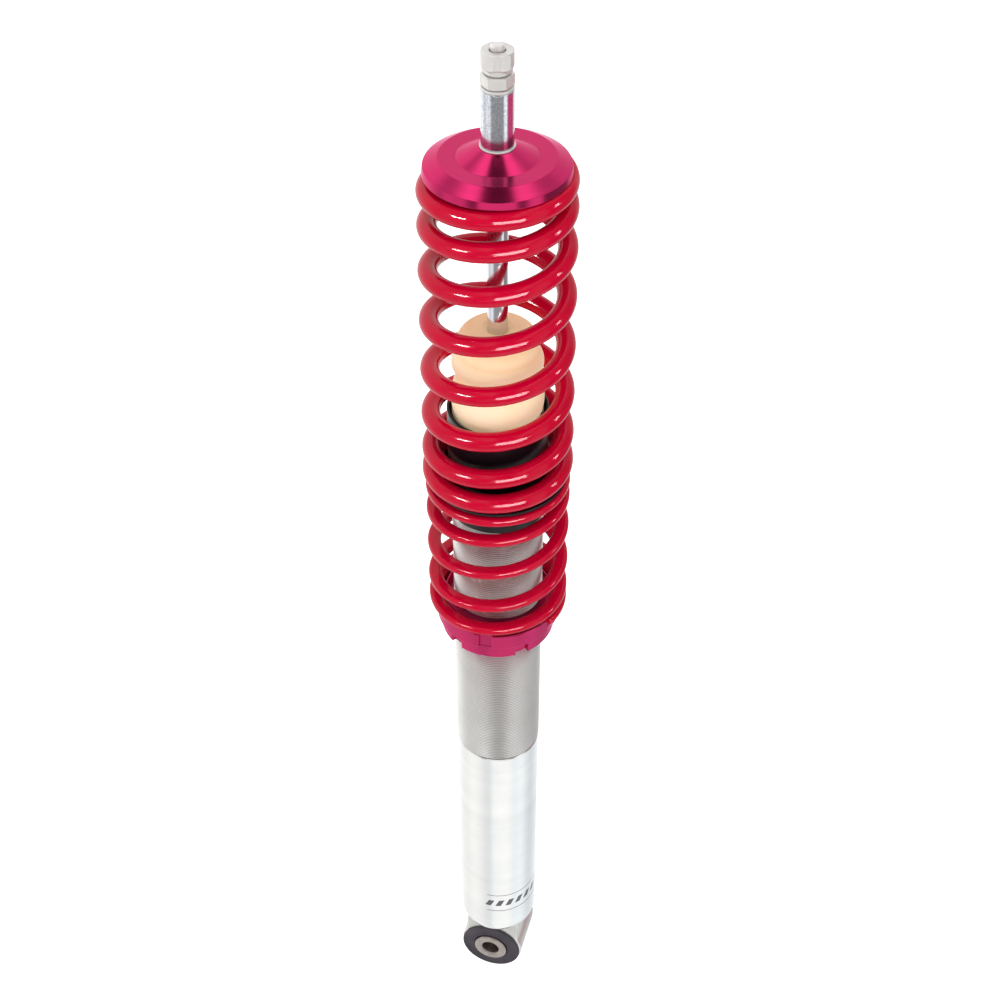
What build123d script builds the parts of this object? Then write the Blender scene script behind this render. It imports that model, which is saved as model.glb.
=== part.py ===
"""Rear coilover: damper body with a threaded sleeve, two collars, helper and main spring, and a bushed eye.

Millimetres, +Z up the damper's axis, origin at the centre of the lower eye's bore, whose axis lies along Y.
"""
import os

from build123d import *

# ---- driving dimensions -------------------------------------------------------------------
THREAD_R = 26.0  # M52 x 1.5 body thread, outside
SLEEVE_BORE_R = 24.0  # the threaded sleeve is pressed over the tube
TUBE_R = 25.6  # plain lower tube, outside
TUBE_INNER_R = 22.0
ROD_R = 5.5
PIN_R = 5.0  # M10 pin at the rod's top
PIN_TIP_R = 3.2
RUNNING = 0.05  # radial clearance of a running fit

EYE_BORE_R = 6.1
EYE_SLEEVE_R = 11.6
EYE_SLEEVE_HALF = 21.0
BUSH_SHELL_R = 18.8
BUSH_SHELL_WALL = 1.4
BUSH_SHELL_HALF = 17.0
BUSH_LIP_R = 20.8
EYE_R = 21.6
EYE_HALF = 18.0
NECK_WIDTH = 37.0
NECK_DEPTH = 30.0

TUBE_BOTTOM_Z = 22.0
TUBE_FLOOR_Z = 28.0
TUBE_BOTTOM_ROUND = 12.0
STEP_Z = 211.0  # the threaded sleeve ends here and the plain tube shows below it
SLEEVE_TOP_Z = 462.0
GLAND_TOP_Z = 472.0
SEAL_R = 10.0
WIPER_R = 8.0

LOCK_RING_LOW = 312.5
COLLAR_LOW = 321.8
COLLAR_TOP = 332.4
LOCK_RING_R = 33.6
COLLAR_R = 36.2
COLLAR_HUB_R = 31.6
HUB_HEIGHT = 5.0
NOTCHES = 5
NOTCH_WIDTH = 8.0
NOTCH_DEPTH = 3.0
COLLAR_NOTCH_ANGLE = 58.0  # first notch, degrees about Z from +X
LOCK_NOTCH_ANGLE = 23.0

HELPER_OUTER_R = 40.5
HELPER_WIDE = 7.75  # the flat wire's size across the coil
HELPER_THICK = 5.0  # and along the axis
HELPER_TURNS = 5.0

SLIDER_R = 27.6
SLIDER_BORE_R = 26.4
SLIDER_LOW = 404.9
SLIDER_TOP = 474.3
SLIDER_FLANGE_R = 38.5
SLIDER_FLANGE_LOW = 426.8
SLIDER_FLANGE_TOP = 428.6
HELPER_GUIDE_R = 31.6
MAIN_GUIDE_R = 29.4

MAIN_TOP = 617.0
MAIN_WIRE_R = 5.25
MAIN_MEAN_R = 36.7
MAIN_TURNS = 8.0

BUMP_TOP = 525.5
SEAT_R = 37.3
SEAT_RIM_TOP = 621.2
SEAT_FLAT_Z = 625.3
SEAT_CONE_TOP = 631.0
SEAT_SPIGOT_LOW = 610.0

SPACER_R = 8.25
SPACER_FOOT = 632.0
SPACER_TOP = 661.2
NUT_FLATS = 14.0
THIN_NUT_FLATS = 13.0
LOWER_NUT_LOW = 662.7
LOWER_NUT_TOP = 669.1
THIN_NUT_TOP = 673.3
LOCKNUT_HEX_TOP = 679.8
NUT_TURN = 16.0  # where each nut's flats came to rest when it was tightened
LOCKNUT_TURN = 46.0
LOCKNUT_TOP = 681.0
STUD_TOP = 683.2

WORK_R = 15.0  # bore of the inner working cylinder
WORK_WALL = 1.5
BASE_VALVE_TOP = 45.0
PISTON_PIN_R = 4.0
PISTON_LOW = 360.0
PISTON_TOP = 374.0
REBOUND_STOP_TOP = 388.0
GUIDE_LOW = 438.0

os.makedirs("parts", exist_ok=True)


def save(piece, label):
    """Name a finished sub-part and write it as parts/<label>.step."""
    piece.part.label = label
    export_step(piece.part, f"parts/{label}.step")
    print(f"{label:22s} {piece.part.volume / 1000:9.3f} cm3")


def ring(outer, inner, low, high, edge=0.0):
    """Turned ring about Z between two heights, with its outer edges chamfered by edge."""
    with BuildPart() as turned:
        with BuildSketch(Plane.XY.offset(low)):
            Circle(outer)
            if inner:
                Circle(inner, mode=Mode.SUBTRACT)
        extrude(amount=high - low)
        if edge:
            rims = turned.edges().filter_by(GeomType.CIRCLE).filter_by(lambda e: e.radius > outer - 0.01)
            chamfer(rims, edge)
    return turned


def turned_outline(points, axis=Axis.Z, plane=Plane.XZ):
    """Solid of revolution from an outline of (radius, height) points."""
    with BuildPart() as turned:
        with BuildSketch(plane):
            with BuildLine():
                Polyline(*points, close=True)
            make_face()
        revolve(axis=axis)
    return turned


def hex_nut(flats, low, high, bore, turn=0.0, chamfer_height=0.8):
    """Hexagon nut, turned about Z, whose corners are cut down to a cone at both ends."""
    corner = flats / 3**0.5
    cone = turned_outline(
        [
            (0, low),
            (flats / 2, low),
            (corner + 0.1, low + chamfer_height),
            (corner + 0.1, high - chamfer_height),
            (flats / 2, high),
            (0, high),
        ]
    )
    with BuildPart() as nut:
        with BuildSketch(Plane.XY.offset(low)):
            RegularPolygon(corner, 6, rotation=turn)
            Circle(bore, mode=Mode.SUBTRACT)
        extrude(amount=high - low)
        add(cone.part, mode=Mode.INTERSECT)
    return nut


def notched_collar(outer, low, high, first_angle, edge):
    """Threaded collar with C-spanner notches cut through its rim, and its two rim edges broken."""
    with BuildPart() as collar:
        with BuildSketch(Plane.XY.offset(low)):
            Circle(outer)
            Circle(THREAD_R + RUNNING, mode=Mode.SUBTRACT)
        extrude(amount=high - low)
        rims = collar.edges().filter_by(GeomType.CIRCLE).filter_by(lambda e: e.radius > outer - 0.01)
        chamfer(rims, edge)
        with BuildSketch(Plane.XY.offset(low)):
            with PolarLocations(outer, NOTCHES, start_angle=first_angle):
                Rectangle(2 * NOTCH_DEPTH, NOTCH_WIDTH)
        extrude(amount=high - low, mode=Mode.SUBTRACT)
    return collar


# ---- lower eye: forged loop, bush shell, rubber and inner sleeve ----------------------------
with BuildPart() as tube_end:
    with BuildSketch(Plane.XY.offset(TUBE_BOTTOM_Z)):
        Circle(TUBE_R)
    extrude(amount=STEP_Z - TUBE_BOTTOM_Z)
    fillet(tube_end.edges().filter_by(GeomType.CIRCLE).sort_by(Axis.Z)[0], TUBE_BOTTOM_ROUND)

with BuildPart() as eye_loop:
    with BuildSketch(Plane.XZ):
        Circle(EYE_R)
    extrude(amount=EYE_HALF, both=True)
    with BuildSketch(Plane.XY):
        Rectangle(NECK_WIDTH, NECK_DEPTH)
    extrude(amount=TUBE_BOTTOM_Z + TUBE_BOTTOM_ROUND / 2)
    with BuildSketch(Plane.XZ):
        Circle(BUSH_SHELL_R)
    extrude(amount=EYE_HALF, both=True, mode=Mode.SUBTRACT)
    add(tube_end.part, mode=Mode.SUBTRACT)
save(eye_loop, "eye_loop")

with BuildPart() as bush_outer_shell:
    with BuildSketch(Plane.XZ):
        Circle(BUSH_SHELL_R)
        Circle(BUSH_SHELL_R - BUSH_SHELL_WALL, mode=Mode.SUBTRACT)
    extrude(amount=BUSH_SHELL_HALF, both=True)
save(bush_outer_shell, "bush_outer_shell")

with BuildPart() as bush_rubber:
    with BuildSketch(Plane.XY):
        with BuildLine():
            Polyline(
                (EYE_SLEEVE_R, 0),
                (BUSH_SHELL_R - BUSH_SHELL_WALL, 0),
                (BUSH_SHELL_R - BUSH_SHELL_WALL, BUSH_SHELL_HALF),
                (BUSH_SHELL_R, BUSH_SHELL_HALF),
                (BUSH_SHELL_R, EYE_HALF),
                (BUSH_LIP_R, EYE_HALF),
                (BUSH_LIP_R, EYE_HALF + 1.2),
                (BUSH_LIP_R - 2.6, EYE_HALF + 2.6),
                (EYE_SLEEVE_R + 2.8, EYE_HALF + 1.8),
                (EYE_SLEEVE_R, EYE_HALF + 1.4),
                close=True,
            )
        make_face()
    revolve(axis=Axis.Y)
    mirror(about=Plane.XZ)
save(bush_rubber, "bush_rubber")

with BuildPart() as bush_inner_sleeve:
    with BuildSketch(Plane.XZ):
        Circle(EYE_SLEEVE_R)
        Circle(EYE_BORE_R, mode=Mode.SUBTRACT)
    extrude(amount=EYE_SLEEVE_HALF, both=True)
    chamfer(bush_inner_sleeve.edges().filter_by(GeomType.CIRCLE), 0.8)
save(bush_inner_sleeve, "bush_inner_sleeve")

# ---- damper body: closed tube, threaded sleeve and gland -------------------------------------
with BuildPart() as lower_tube:
    add(tube_end.part)
    with BuildSketch(Plane.XY.offset(STEP_Z)):
        Circle(SLEEVE_BORE_R)
    extrude(amount=SLEEVE_TOP_Z - STEP_Z)
    with BuildSketch(Plane.XY.offset(TUBE_FLOOR_Z)):
        Circle(TUBE_INNER_R)
    extrude(amount=SLEEVE_TOP_Z - TUBE_FLOOR_Z, mode=Mode.SUBTRACT)
save(lower_tube, "lower_tube")

save(ring(THREAD_R, SLEEVE_BORE_R, STEP_Z, SLEEVE_TOP_Z, edge=0.5), "threaded_sleeve")

gland_blank = ring(TUBE_R, ROD_R + 0.7, SLEEVE_TOP_Z, GLAND_TOP_Z, edge=0.8)
with BuildPart() as gland_nut:
    add(gland_blank.part)
    with BuildSketch(Plane.XY.offset(SLEEVE_TOP_Z)):
        Circle(SEAL_R)
    extrude(amount=5.0, mode=Mode.SUBTRACT)
    with BuildSketch(Plane.XY.offset(GLAND_TOP_Z)):
        Circle(WIPER_R)
    extrude(amount=-3.0, mode=Mode.SUBTRACT)
    with BuildSketch(Plane.XY.offset(GLAND_TOP_Z)):
        with PolarLocations(TUBE_R, 4):
            Rectangle(5.0, 6.0)
    extrude(amount=-4.0, mode=Mode.SUBTRACT)
save(gland_nut, "gland_nut")
save(ring(WIPER_R, ROD_R + RUNNING, GLAND_TOP_Z - 3.0, GLAND_TOP_Z), "rod_wiper")
save(ring(SEAL_R, ROD_R + RUNNING, SLEEVE_TOP_Z, SLEEVE_TOP_Z + 5.0), "rod_seal")

O_RING_R = 0.98
groove_z = (GUIDE_LOW + SLEEVE_TOP_Z) / 2
groove_half = 1.2
groove_r = TUBE_INNER_R - 2 * O_RING_R
rod_guide = turned_outline(
    [
        (ROD_R + RUNNING, GUIDE_LOW - 8),
        (WORK_R, GUIDE_LOW - 8),
        (WORK_R, GUIDE_LOW),
        (TUBE_INNER_R, GUIDE_LOW),
        (TUBE_INNER_R, groove_z - groove_half),
        (groove_r, groove_z - groove_half),
        (groove_r, groove_z + groove_half),
        (TUBE_INNER_R, groove_z + groove_half),
        (TUBE_INNER_R, SLEEVE_TOP_Z),
        (ROD_R + RUNNING, SLEEVE_TOP_Z),
    ]
)
save(rod_guide, "rod_guide")

with BuildPart() as guide_o_ring:
    with BuildSketch(Plane.XZ):
        with Locations((groove_r + O_RING_R, groove_z)):
            Circle(O_RING_R)
    revolve(axis=Axis.Z)
save(guide_o_ring, "guide_o_ring")

# ---- inside the body: working cylinder and base valve ---------------------------------------
save(ring(WORK_R + WORK_WALL, WORK_R, BASE_VALVE_TOP, GUIDE_LOW), "working_cylinder")

base_valve_blank = turned_outline(
    [
        (3.0, TUBE_FLOOR_Z + 4),
        (20.0, TUBE_FLOOR_Z),
        (21.0, TUBE_FLOOR_Z),
        (WORK_R + WORK_WALL, BASE_VALVE_TOP),
        (WORK_R, BASE_VALVE_TOP),
        (WORK_R, BASE_VALVE_TOP + 6),
        (3.0, BASE_VALVE_TOP + 6),
    ]
)
with BuildPart() as base_valve_body:
    add(base_valve_blank.part)
    with BuildSketch(Plane.XY.offset(TUBE_FLOOR_Z)):
        with PolarLocations(8.0, 8):
            Circle(1.4)
    extrude(amount=BASE_VALVE_TOP + 6 - TUBE_FLOOR_Z, mode=Mode.SUBTRACT)
    with BuildSketch(Plane.XY.offset(TUBE_FLOOR_Z)):
        with PolarLocations(18.0, 4):
            Rectangle(12.0, 5.0)
    extrude(amount=4.0, mode=Mode.SUBTRACT)
save(base_valve_body, "base_valve_body")
save(ring(11.0, 3.0, BASE_VALVE_TOP + 6, BASE_VALVE_TOP + 6.8), "base_valve_shim")
with BuildPart() as base_valve_bolt:
    with BuildSketch(Plane.XY.offset(TUBE_FLOOR_Z + 4.2)):
        Circle(3.0)
    extrude(amount=BASE_VALVE_TOP + 6.8 - TUBE_FLOOR_Z - 4.2)
    with BuildSketch(Plane.XY.offset(BASE_VALVE_TOP + 6.8)):
        RegularPolygon(5.5, 6)
    extrude(amount=4.0)
save(base_valve_bolt, "base_valve_bolt")

# ---- bump stop: lobed foam on the gland nut --------------------------------------------------
LOWER_WAIST = (22.6, GLAND_TOP_Z + 19.0)
UPPER_WAIST = (22.0, GLAND_TOP_Z + 37.5)
DOME_EDGE = (15.5, BUMP_TOP - 1.2)
with BuildPart() as bump_stop:
    with BuildSketch(Plane.XZ):
        with BuildLine():
            Line((ROD_R + 0.5, GLAND_TOP_Z), (24.2, GLAND_TOP_Z))
            ThreePointArc((24.2, GLAND_TOP_Z), (24.9, GLAND_TOP_Z + 9.0), LOWER_WAIST)
            ThreePointArc(LOWER_WAIST, (24.3, GLAND_TOP_Z + 28.0), UPPER_WAIST)
            ThreePointArc(UPPER_WAIST, (21.4, GLAND_TOP_Z + 46.5), DOME_EDGE)
            ThreePointArc(DOME_EDGE, (12.0, BUMP_TOP - 0.2), (8.0, BUMP_TOP))
            Line((8.0, BUMP_TOP), (ROD_R + 0.5, BUMP_TOP - 1.5))
            Line((ROD_R + 0.5, BUMP_TOP - 1.5), (ROD_R + 0.5, GLAND_TOP_Z))
        make_face()
    revolve(axis=Axis.Z)
save(bump_stop, "bump_stop")

# ---- collars on the body thread --------------------------------------------------------------
collar_blank = notched_collar(COLLAR_R, COLLAR_LOW, COLLAR_TOP, COLLAR_NOTCH_ANGLE, edge=0.8)
with BuildPart() as perch_collar:
    add(collar_blank.part)
    with BuildSketch(Plane.XY.offset(COLLAR_TOP)):
        Circle(COLLAR_HUB_R)
        Circle(THREAD_R + RUNNING, mode=Mode.SUBTRACT)
    extrude(amount=HUB_HEIGHT)
    hub_rim = perch_collar.edges().filter_by(GeomType.CIRCLE).group_by(Axis.Z)[-1].sort_by(SortBy.RADIUS)[-1]
    chamfer(hub_rim, 1.0)
save(perch_collar, "perch_collar")

save(notched_collar(LOCK_RING_R, LOCK_RING_LOW, COLLAR_LOW, LOCK_NOTCH_ANGLE, edge=0.6), "lock_ring")


# ---- springs: one round wire, one flat wire ---------------------------------------------------
def coil_path(mean_r, turns, low, high):
    """Right-handed helix for a wire's centre, from a start on +X."""
    with BuildLine() as path:
        Helix(pitch=(high - low) / turns, height=high - low, radius=mean_r, center=(0, 0, low))
    return path.wires()[0]


main_path = coil_path(MAIN_MEAN_R, MAIN_TURNS, SLIDER_FLANGE_TOP + MAIN_WIRE_R, MAIN_TOP - MAIN_WIRE_R)
with BuildPart() as main_spring:
    with BuildSketch(Plane(main_path @ 0, x_dir=(1, 0, 0), z_dir=main_path % 0)):
        Circle(MAIN_WIRE_R)
    sweep(path=main_path, is_frenet=True)
save(main_spring, "main_spring")

helper_path = coil_path(
    HELPER_OUTER_R - HELPER_WIDE / 2,
    HELPER_TURNS,
    COLLAR_TOP + HELPER_THICK / 2,
    SLIDER_FLANGE_LOW - HELPER_THICK / 2,
)
with BuildPart() as helper_spring:
    with BuildSketch(Plane(helper_path @ 0, x_dir=(1, 0, 0), z_dir=helper_path % 0)):
        Rectangle(HELPER_WIDE, HELPER_THICK)
    sweep(path=helper_path, is_frenet=True)
save(helper_spring, "helper_spring")

# ---- slider between the springs: a sleeve with a flange and two centring lips -------------------
spring_slider = turned_outline(
    [
        (SLIDER_BORE_R, SLIDER_LOW),
        (SLIDER_R, SLIDER_LOW),
        (SLIDER_R, SLIDER_FLANGE_LOW - 6),
        (HELPER_GUIDE_R, SLIDER_FLANGE_LOW - 4),
        (HELPER_GUIDE_R, SLIDER_FLANGE_LOW),
        (SLIDER_FLANGE_R, SLIDER_FLANGE_LOW),
        (SLIDER_FLANGE_R, SLIDER_FLANGE_TOP),
        (MAIN_GUIDE_R, SLIDER_FLANGE_TOP),
        (MAIN_GUIDE_R, SLIDER_FLANGE_TOP + 4),
        (SLIDER_R, SLIDER_FLANGE_TOP + 6),
        (SLIDER_R, SLIDER_TOP),
        (SLIDER_BORE_R, SLIDER_TOP),
    ]
)
save(spring_slider, "spring_slider")

# ---- rod, piston and its valve stack ----------------------------------------------------------
piston_rod = turned_outline(
    [
        (0, PISTON_LOW - 20),
        (PISTON_PIN_R, PISTON_LOW - 20),
        (PISTON_PIN_R, PISTON_TOP + 2.4),
        (ROD_R, PISTON_TOP + 2.4),
        (ROD_R, SEAT_SPIGOT_LOW),
        (PIN_R, SEAT_SPIGOT_LOW),
        (PIN_R, LOCKNUT_TOP - 0.6),
        (PIN_TIP_R, LOCKNUT_TOP),
        (PIN_TIP_R, STUD_TOP - 0.6),
        (PIN_TIP_R - 0.6, STUD_TOP),
        (0, STUD_TOP),
    ]
)
save(piston_rod, "piston_rod")

band_r = WORK_R - 1.4
piston_blank = turned_outline(
    [
        (PISTON_PIN_R, PISTON_LOW),
        (WORK_R - 0.3, PISTON_LOW),
        (WORK_R - 0.3, PISTON_LOW + 2),
        (band_r, PISTON_LOW + 2),
        (band_r, PISTON_TOP - 2),
        (WORK_R - 0.3, PISTON_TOP - 2),
        (WORK_R - 0.3, PISTON_TOP),
        (PISTON_PIN_R, PISTON_TOP),
    ]
)
with BuildPart() as piston:
    add(piston_blank.part)
    with BuildSketch(Plane.XY.offset(PISTON_LOW)):
        with PolarLocations(9.5, 6):
            Circle(1.6)
    extrude(amount=PISTON_TOP - PISTON_LOW, mode=Mode.SUBTRACT)
save(piston, "piston")
save(ring(WORK_R - RUNNING, band_r, PISTON_LOW + 2, PISTON_TOP - 2), "piston_band")
save(ring(12.0, PISTON_PIN_R, PISTON_TOP, PISTON_TOP + 0.8), "compression_shim")
save(ring(9.0, PISTON_PIN_R, PISTON_TOP + 0.8, PISTON_TOP + 2.4), "shim_backing_washer")
save(ring(12.5, PISTON_PIN_R, PISTON_LOW - 1.0, PISTON_LOW), "rebound_shim")
save(hex_nut(13.0, PISTON_LOW - 8.0, PISTON_LOW - 1.0, PISTON_PIN_R), "piston_nut")
save(ring(10.5, ROD_R, REBOUND_STOP_TOP - 11.6, REBOUND_STOP_TOP, edge=1.0), "rebound_stop")

# ---- upper spring seat ----------------------------------------------------------------------
upper_spring_seat = turned_outline(
    [
        (PIN_R + 0.1, SEAT_SPIGOT_LOW),
        (15.0, SEAT_SPIGOT_LOW),
        (16.0, SEAT_SPIGOT_LOW + 9),
        (24.5, SEAT_SPIGOT_LOW + 9),
        (25.5, SEAT_SPIGOT_LOW),
        (28.6, SEAT_SPIGOT_LOW),
        (29.4, SEAT_SPIGOT_LOW + 2),
        (29.4, MAIN_TOP),
        (SEAT_R - 0.4, MAIN_TOP),
        (SEAT_R, MAIN_TOP + 0.4),
        (SEAT_R, SEAT_RIM_TOP - 0.3),
        (SEAT_R - 0.5, SEAT_RIM_TOP),
        (29.2, SEAT_FLAT_Z),
        (20.4, SEAT_FLAT_Z),
        (9.4, SEAT_CONE_TOP),
        (PIN_R + 0.1, SEAT_CONE_TOP),
    ]
)
save(upper_spring_seat, "upper_spring_seat")

# ---- pin stack on top ------------------------------------------------------------------------
save(ring(9.0, PIN_R, SEAT_CONE_TOP, SPACER_FOOT, edge=0.2), "sleeve_washer")
save(ring(SPACER_R, PIN_R, SPACER_FOOT, SPACER_TOP, edge=0.3), "spacer_sleeve")
save(ring(SPACER_R - 0.1, PIN_R, SPACER_TOP, LOWER_NUT_LOW, edge=0.2), "nut_washer")
save(hex_nut(NUT_FLATS, LOWER_NUT_LOW, LOWER_NUT_TOP, PIN_R, NUT_TURN), "lower_nut")
save(hex_nut(THIN_NUT_FLATS, LOWER_NUT_TOP, THIN_NUT_TOP, PIN_R, NUT_TURN), "thin_nut")

locknut_hex = hex_nut(NUT_FLATS, THIN_NUT_TOP, LOCKNUT_HEX_TOP, PIN_R, LOCKNUT_TURN)
with BuildPart() as top_locknut:
    add(locknut_hex.part)
    with BuildSketch(Plane.XY.offset(LOCKNUT_HEX_TOP)):
        Circle(6.6)
        Circle(PIN_R, mode=Mode.SUBTRACT)
    extrude(amount=LOCKNUT_TOP - LOCKNUT_HEX_TOP)
    crown = top_locknut.edges().filter_by(GeomType.CIRCLE).group_by(Axis.Z)[-1].sort_by(SortBy.RADIUS)[-1]
    fillet(crown, 1.0)
    with BuildSketch(Plane.XY.offset(LOCKNUT_TOP - 2.4)):
        Circle(6.0)
    extrude(amount=1.8, mode=Mode.SUBTRACT)
save(top_locknut, "top_locknut")
save(ring(6.0, PIN_R, LOCKNUT_TOP - 2.4, LOCKNUT_TOP - 0.6), "locknut_insert")
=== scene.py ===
# %% [markdown]
# # A coilover, dressed for its portrait
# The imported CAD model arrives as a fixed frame: every node already sits at its true place, in metres.
# This lesson builds a finer surface over each part that shows, gives it a finish, and lights it like a
# catalogue picture. Nothing here moves the frame.

# %% Load the frame
from math import cos, pi, radians, sin

import bmesh
import bpy
import numpy as np
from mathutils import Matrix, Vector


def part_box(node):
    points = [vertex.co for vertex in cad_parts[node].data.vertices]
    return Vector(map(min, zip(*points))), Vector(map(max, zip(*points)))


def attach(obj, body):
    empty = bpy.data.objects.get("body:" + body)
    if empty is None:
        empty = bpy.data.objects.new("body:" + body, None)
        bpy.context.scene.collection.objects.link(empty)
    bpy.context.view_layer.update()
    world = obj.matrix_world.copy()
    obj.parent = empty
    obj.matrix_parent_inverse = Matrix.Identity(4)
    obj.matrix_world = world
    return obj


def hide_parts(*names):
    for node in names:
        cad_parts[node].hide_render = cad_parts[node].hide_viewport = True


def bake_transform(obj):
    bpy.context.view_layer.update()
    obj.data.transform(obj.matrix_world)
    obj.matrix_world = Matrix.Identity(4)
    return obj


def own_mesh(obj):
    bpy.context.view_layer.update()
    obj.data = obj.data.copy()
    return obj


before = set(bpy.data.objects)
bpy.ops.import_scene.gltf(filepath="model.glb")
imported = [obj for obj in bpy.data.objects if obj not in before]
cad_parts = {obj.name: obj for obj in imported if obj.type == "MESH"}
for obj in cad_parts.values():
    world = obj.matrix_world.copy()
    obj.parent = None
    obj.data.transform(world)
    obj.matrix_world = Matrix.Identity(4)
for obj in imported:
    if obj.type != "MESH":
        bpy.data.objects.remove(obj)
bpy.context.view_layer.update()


# %% [markdown]
# ## Heights and radii
# Places are read from the frame, so a change in the CAD carries through.

# %% Read places from the frame
MM = 0.001


def low(node):
    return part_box(node)[0].z / MM


def high(node):
    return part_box(node)[1].z / MM


def outer(node):
    """Outer radius of a part turned about Z, which is its highest x."""
    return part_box(node)[1].x / MM


TUBE_R = outer("lower_tube")
TUBE_LOW = low("lower_tube")
THREAD_R = outer("threaded_sleeve")
STEP_Z = low("threaded_sleeve")
SLEEVE_TOP = high("threaded_sleeve")
EYE_R = -low("eye_loop")
EYE_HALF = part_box("eye_loop")[1].y / MM
BUSH_R = -low("bush_outer_shell")
BUSH_SLEEVE_R = -low("bush_inner_sleeve")
BUSH_SLEEVE_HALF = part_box("bush_inner_sleeve")[1].y / MM
MAIN_LOW = low("main_spring")
MAIN_TOP = high("main_spring")
HELPER_LOW = low("helper_spring")
HELPER_TOP = high("helper_spring")
STOP_R = outer("bump_stop")
ROD_R = 5.5
PIN_R = 5.0
FRONT = radians(-74)  # the side of the part that the portrait looks at
print("thread radius", round(THREAD_R, 2), "mm, step at", round(STEP_Z, 1), "mm")


# %% [markdown]
# ## Camera
# The portrait looks down on the part from above its front, close enough for a strong perspective: the
# top of the part is clearly larger in the picture than the eye at its foot.

# %% Camera
CAMERA_AWAY = 0.726
CAMERA_HEIGHT = 1.037
CAMERA_PITCH = radians(41)
CAMERA_ASIDE = 0.0012
LENS = 61.2

camera = bpy.data.objects.new("portrait_camera", bpy.data.cameras.new("portrait_camera"))
bpy.context.scene.collection.objects.link(camera)
camera.data.sensor_width = 36
camera.data.lens = LENS
camera.data.clip_start = 0.01
camera.location = (
    CAMERA_AWAY * cos(FRONT) - CAMERA_ASIDE * sin(FRONT),
    CAMERA_AWAY * sin(FRONT) + CAMERA_ASIDE * cos(FRONT),
    CAMERA_HEIGHT,
)
camera.rotation_euler = (pi / 2 - CAMERA_PITCH, 0, FRONT + pi / 2)
bpy.context.scene.camera = camera
print("camera at", [round(c, 3) for c in camera.location])


# %% [markdown]
# ## Surfaces from grids
# Almost every part here was turned on a lathe or wound on a mandrel, so one idea serves for all: a grid
# of points worked out with numpy as whole arrays, whose neighbours are joined into quads. Where a row
# shrinks to one point, as at a pole, doubles are merged so that the surface stays closed.

# %% Grid to mesh
def quads(rows, columns, wrap_rows, wrap_columns):
    """Corner numbers of every cell of a grid whose point (i, j) has the number i * columns + j."""
    i = np.arange(rows if wrap_rows else rows - 1)
    j = np.arange(columns if wrap_columns else columns - 1)
    i, j = (a.ravel() for a in np.meshgrid(i, j, indexing="ij"))
    i_next, j_next = (i + 1) % rows, (j + 1) % columns
    return np.stack([
        i * columns + j,
        i * columns + j_next,
        i_next * columns + j_next,
        i_next * columns + j,
    ], 1)


def new_mesh(name, points, faces):
    """Object at the origin from an (n, 3) array of points in mm and an (m, 4) array of faces."""
    mesh = bpy.data.meshes.new(name)
    mesh.from_pydata((np.asarray(points) * MM).tolist(), [], np.asarray(faces).tolist())
    piece = bpy.data.objects.new(name, mesh)
    bpy.context.scene.collection.objects.link(piece)
    return piece


def tidy_mesh(piece, sharp_degrees=35.0, merge=2e-7):
    """Merges doubles, turns faces outwards, smooths the shading and keeps edges sharper than the angle."""
    mesh = piece.data
    bm = bmesh.new()
    bm.from_mesh(mesh)
    bmesh.ops.remove_doubles(bm, verts=bm.verts, dist=merge)
    bmesh.ops.recalc_face_normals(bm, faces=bm.faces)
    bm.to_mesh(mesh)
    bm.free()
    mesh.shade_smooth()
    mesh.set_sharp_from_angle(angle=radians(sharp_degrees))
    return piece


def dress(piece, body, slot, material, *nodes):
    """Gives a finished piece its material and its body, and hides the CAD nodes it stands for. The slot is
    not used.
    """
    piece.data.materials.append(material)
    if body:
        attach(piece, body)
    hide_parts(*nodes)
    print(f"{piece.name:22s} {len(piece.data.polygons):7d} faces")
    return piece


# %% [markdown]
# ### The lathe
# A turned part is an outline in radius and height, swept once round an axis. Real turned parts have no
# knife edges, so a corner of the outline may carry the radius of its break: it is then replaced by points
# on the small arc that touches both sides.

# %% Rounded outline and lathe
ARC_POINTS = 5


def corner_arc(before, corner, after, radius):
    """Points on the arc of a radius that touches both sides of a corner, kept within half of each side."""
    back, ahead = before - corner, after - corner
    reach = 0.49 * min(np.linalg.norm(back), np.linalg.norm(ahead))
    back, ahead = back / np.linalg.norm(back), ahead / np.linalg.norm(ahead)
    half = 0.5 * np.arccos(np.clip(back @ ahead, -1, 1))
    setback = min(radius / np.tan(half), reach)
    radius = setback * np.tan(half)
    centre = corner + (back + ahead) / np.linalg.norm(back + ahead) * radius / np.sin(half)
    start, end = corner + back * setback - centre, corner + ahead * setback - centre
    sweep = pi - 2 * half
    share = np.linspace(0, 1, ARC_POINTS)[:, None]
    return centre + (np.sin((1 - share) * sweep) * start + np.sin(share * sweep) * end) / np.sin(sweep)


def rounded(outline, closed=True):
    """Outline of (r, z) or (r, z, break radius) corners in mm as an array of points."""
    corners = [np.array(c[:2], float) for c in outline]
    last = len(corners) - 1
    parts = []
    for i, corner in enumerate(corners):
        if len(outline[i]) > 2 and (closed or 0 < i < last):
            parts.append(corner_arc(corners[i - 1], corner, corners[(i + 1) % (last + 1)], outline[i][2]))
        else:
            parts.append(corner[None, :])
    return np.vstack(parts)


def hold_edges(profile, closed, gap=0.2):
    """Adds a point a short way in from both ends of every long side: smooth shading then bends only there,
    and the side itself stays straight in its reflections."""
    ahead = np.roll(profile, -1, 0)
    side = ahead - profile
    length = np.linalg.norm(side, axis=1, keepdims=True)
    is_long = length > 5 * gap
    is_long[-1] &= closed
    step = side / np.maximum(length, 1e-9) * gap
    keep = np.hstack([np.ones_like(is_long), is_long, is_long])
    return np.stack([profile, profile + step, ahead - step], 1)[keep]


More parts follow.
